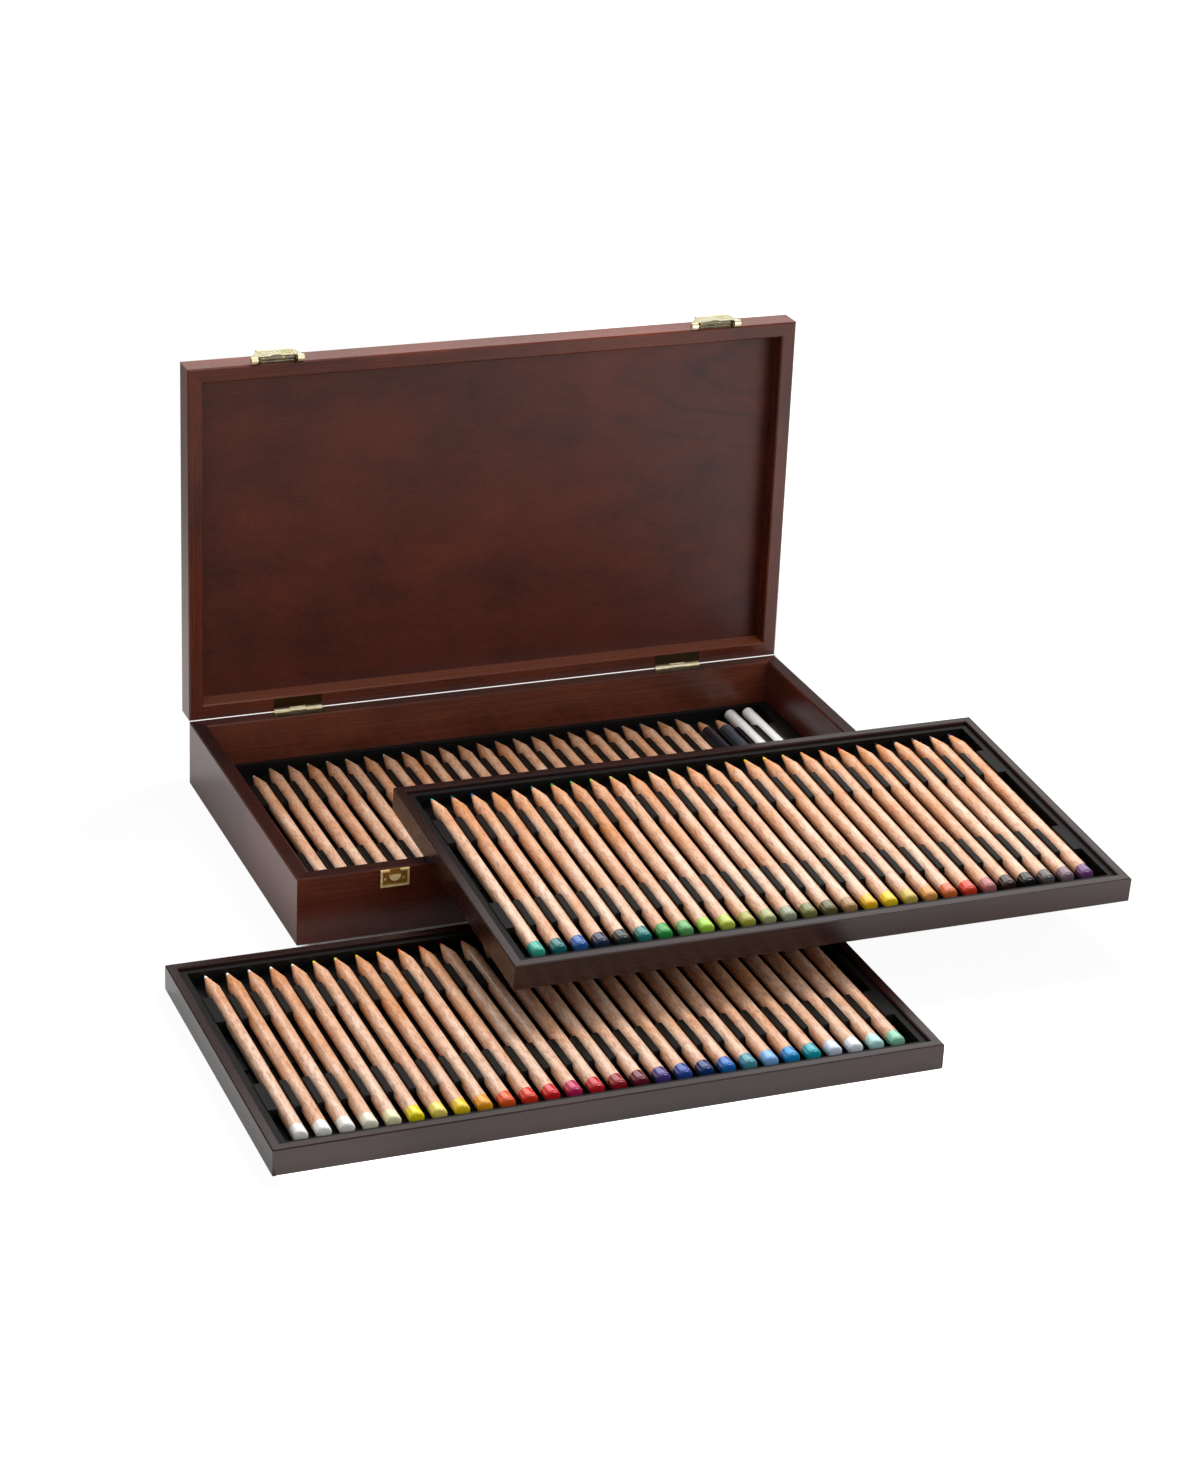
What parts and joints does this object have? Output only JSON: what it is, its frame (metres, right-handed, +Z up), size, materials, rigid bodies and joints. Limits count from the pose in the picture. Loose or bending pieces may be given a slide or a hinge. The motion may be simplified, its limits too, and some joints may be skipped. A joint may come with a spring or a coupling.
{
  "type": "pencil case with lift-out trays",
  "caption": "Flat stained wood presentation case with a hinged, clasped lid and lift-out trays, holding rows of sharpened coloured pencils in moulded inserts.",
  "frame": {"origin": "centre of the box's footprint, on the surface that it stands on", "axes": "+X to the right along the box's front, +Y from the front to the hinged back, +Z up"},
  "size_m": [0.5219, 0.4672, 0.2677],
  "materials": {
    "stained_wood": "dark red-brown mahogany stain under satin lacquer",
    "brass_hardware": "pale polished brass plate",
    "moulded_insert": "black vacuum-formed sheet with a fine flock",
    "pencil_cedar": "clear matt varnish over natural cedar, ends dipped in the colour of the lead",
    "pencil_black": "black gloss lacquer with a bare sharpened cone",
    "pencil_grey": "dark blue-grey gloss lacquer with a bare sharpened cone",
    "pencil_white": "white gloss lacquer"
  },
  "bodies": {
    "base": {"base_front_wall": "stained_wood", "base_back_wall": "stained_wood", "base_left_wall": "stained_wood", "base_right_wall": "stained_wood", "base_bottom_panel": "stained_wood", "base_insert": "moulded_insert", "left_hinge_base_leaf": "brass_hardware", "left_hinge_pin": "brass_hardware", "left_catch_plate": "brass_hardware", "right_hinge_base_leaf": "brass_hardware", "right_hinge_pin": "brass_hardware", "right_catch_plate": "brass_hardware"},
    "lid": {"lid_front_wall": "stained_wood", "lid_back_wall": "stained_wood", "lid_left_wall": "stained_wood", "lid_right_wall": "stained_wood", "lid_panel": "stained_wood", "left_hinge_lid_leaf": "brass_hardware", "left_clasp_plate": "brass_hardware", "left_clasp_pin": "brass_hardware", "right_hinge_lid_leaf": "brass_hardware", "right_clasp_plate": "brass_hardware", "right_clasp_pin": "brass_hardware"},
    "left_lever": {"left_clasp_lever": "brass_hardware"},
    "right_lever": {"right_clasp_lever": "brass_hardware"},
    "upper_tray": {"upper_tray_front_rail": "stained_wood", "upper_tray_back_rail": "stained_wood", "upper_tray_left_rail": "stained_wood", "upper_tray_right_rail": "stained_wood", "upper_tray_panel": "stained_wood", "upper_tray_insert": "moulded_insert"},
    "lower_tray": {"lower_tray_front_rail": "stained_wood", "lower_tray_back_rail": "stained_wood", "lower_tray_left_rail": "stained_wood", "lower_tray_right_rail": "stained_wood", "lower_tray_panel": "stained_wood", "lower_tray_insert": "moulded_insert"},
    "base_pencil_row": {"base_worn_pencil": "pencil_cedar", "base_pencils": "pencil_cedar", "base_black_pencil": "pencil_black", "base_grey_pencil": "pencil_grey", "base_blender_sticks": "pencil_white"},
    "upper_pencil_row": {"upper_tray_pencils": "pencil_cedar"},
    "lower_pencil_row": {"lower_tray_pencils": "pencil_cedar"}
  },
  "joints": [
    {"name": "lid_hinge", "type": "hinge", "parent": "base", "child": "lid", "pos_m": [0, 0.1102, 0.0412], "axis": [1, 0, 0], "range_deg": [0, 82]},
    {"name": "left_clasp", "type": "hinge", "parent": "lid", "child": "left_lever", "pos_m": [-0.1385, 0.11293, 0.26368], "axis": [1, 0, 0], "range_deg": [0, 150]},
    {"name": "right_clasp", "type": "hinge", "parent": "lid", "child": "right_lever", "pos_m": [0.1385, 0.11293, 0.26368], "axis": [1, 0, 0], "range_deg": [0, 150]},
    {"name": "upper_tray_lift", "type": "slide", "parent": "base", "child": "upper_tray", "axis": [0, 0, 1], "range_m": [0, 0.12]},
    {"name": "lower_tray_slide", "type": "slide", "parent": "base", "child": "lower_tray", "axis": [0, -1, 0], "range_m": [0, 0.15]},
    {"name": "base_pencils_lift", "type": "slide", "parent": "base", "child": "base_pencil_row", "axis": [0, 0, 1], "range_m": [0, 0.024]},
    {"name": "upper_pencils_lift", "type": "slide", "parent": "upper_tray", "child": "upper_pencil_row", "axis": [0, -0.0631, 0.998], "range_m": [0, 0.015]},
    {"name": "lower_pencils_lift", "type": "slide", "parent": "lower_tray", "child": "lower_pencil_row", "axis": [0, 0, 1], "range_m": [0, 0.015]}
  ]
}
